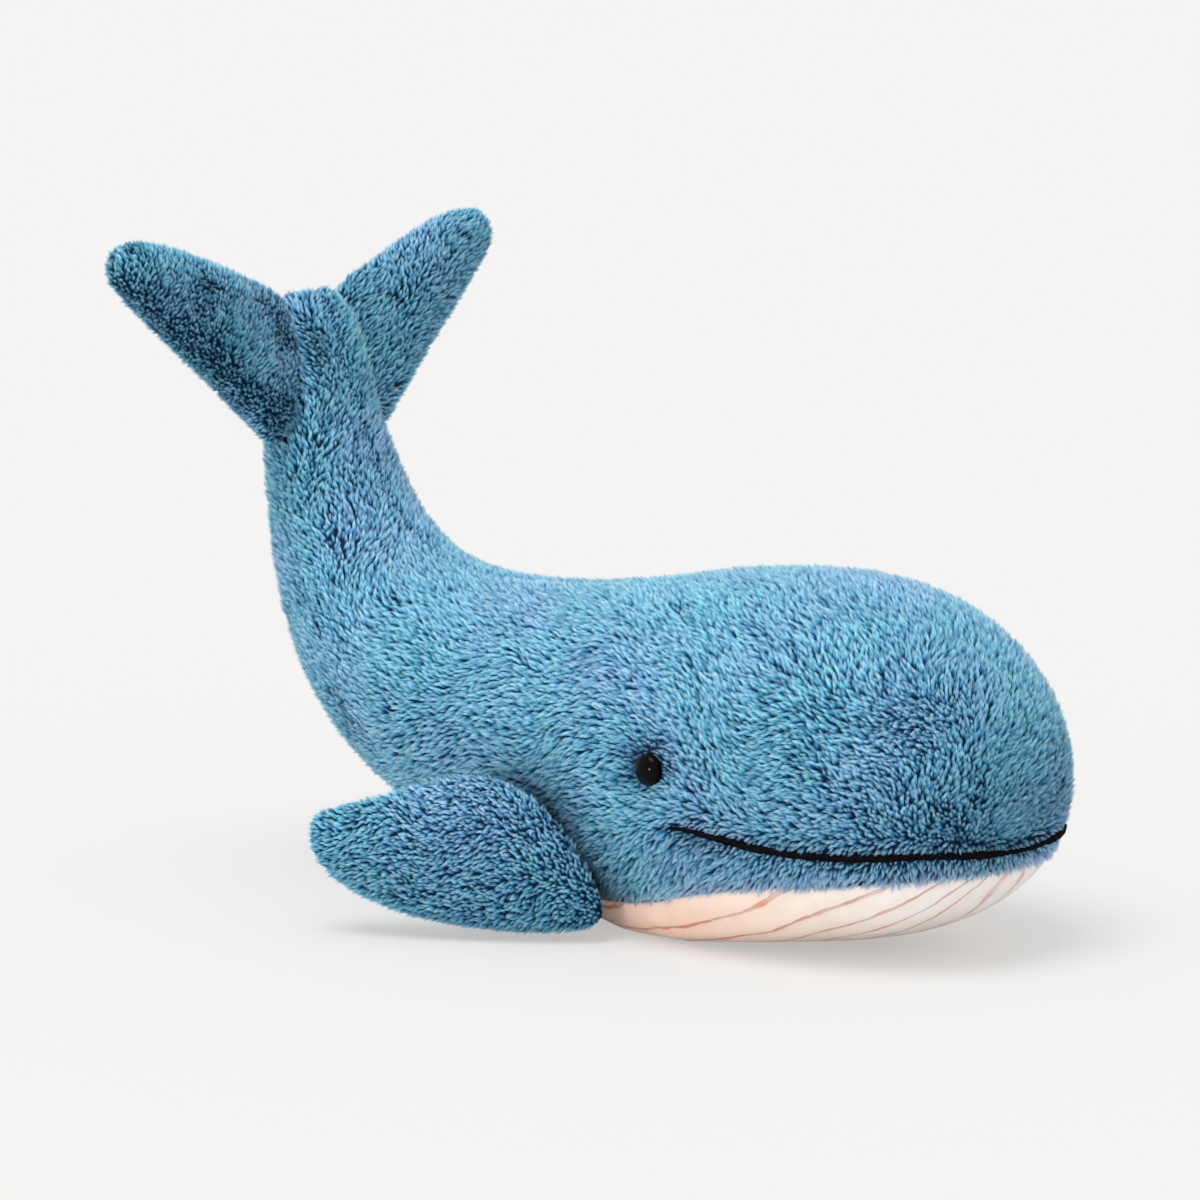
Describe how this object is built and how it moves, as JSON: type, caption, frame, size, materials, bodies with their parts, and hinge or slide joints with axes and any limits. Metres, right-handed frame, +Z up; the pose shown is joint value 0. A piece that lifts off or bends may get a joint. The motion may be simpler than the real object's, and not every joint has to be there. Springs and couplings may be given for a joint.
{
  "type": "plush whale",
  "caption": "Stuffed plush whale that lies on its belly with its tail raised, with floppy flippers and flukes, button eyes, a sewn mouth line and a smooth pale belly.",
  "frame": {"origin": "middle of the flat patch of the belly that the toy rests on", "axes": "+X towards the snout, +Z up, the toy's right side towards -Y"},
  "size_m": [0.4731, 0.303, 0.3356],
  "materials": {
    "blue_plush": "long soft pile, matt",
    "cream_cloth": "short smooth pile, matt",
    "black_cord": "twisted thread, matt",
    "black_eye": "polished",
    "washer_plastic": "moulded",
    "fibre_filling": "loose fibre wad",
    "pouch_cloth": "thin woven cloth",
    "pellets": "small beads"
  },
  "bodies": {
    "body": {"side_panel_right": "blue_plush", "side_panel_left": "blue_plush", "jaw_band": "blue_plush", "belly_panel": "cream_cloth", "mouth_cord": "black_cord", "eye_right": "black_eye", "eye_left": "black_eye", "eye_washer_right": "washer_plastic", "eye_washer_left": "washer_plastic", "head_filling": "fibre_filling", "trunk_filling": "fibre_filling", "tail_filling": "fibre_filling", "pouch_upper_cloth": "pouch_cloth", "pouch_lower_cloth": "pouch_cloth", "pellet_fill": "pellets"},
    "flipper_right": {"flipper_outer_panel_right": "blue_plush", "flipper_inner_panel_right": "blue_plush", "flipper_filling_right": "fibre_filling"},
    "fluke_right": {"fluke_front_panel_right": "blue_plush", "fluke_rear_panel_right": "blue_plush", "fluke_filling_right": "fibre_filling"},
    "flipper_left": {"flipper_outer_panel_left": "blue_plush", "flipper_inner_panel_left": "blue_plush", "flipper_filling_left": "fibre_filling"},
    "fluke_left": {"fluke_front_panel_left": "blue_plush", "fluke_rear_panel_left": "blue_plush", "fluke_filling_left": "fibre_filling"}
  },
  "joints": [
    {"name": "flipper_right_swing", "type": "hinge", "parent": "body", "child": "flipper_right", "pos_m": [-0.04911, -0.08396, 0.04311], "axis": [-0.4863, -0.2764, 0.8289], "range_deg": [0, 55], "stiffness_Nm_per_rad": 0.02},
    {"name": "flipper_left_swing", "type": "hinge", "parent": "body", "child": "flipper_left", "pos_m": [-0.04911, 0.08395, 0.04311], "axis": [0.4863, -0.2764, -0.8289], "range_deg": [0, 55], "stiffness_Nm_per_rad": 0.02},
    {"name": "fluke_right_bend", "type": "hinge", "parent": "body", "child": "fluke_right", "pos_m": [-0.2884, -0.02534, 0.25707], "axis": [-0.1225, 0.2608, 0.9576], "range_deg": [-20, 20], "stiffness_Nm_per_rad": 0.08},
    {"name": "fluke_left_bend", "type": "hinge", "parent": "body", "child": "fluke_left", "pos_m": [-0.28842, 0.02535, 0.25706], "axis": [0.1225, 0.2609, -0.9576], "range_deg": [-20, 20], "stiffness_Nm_per_rad": 0.08}
  ]
}
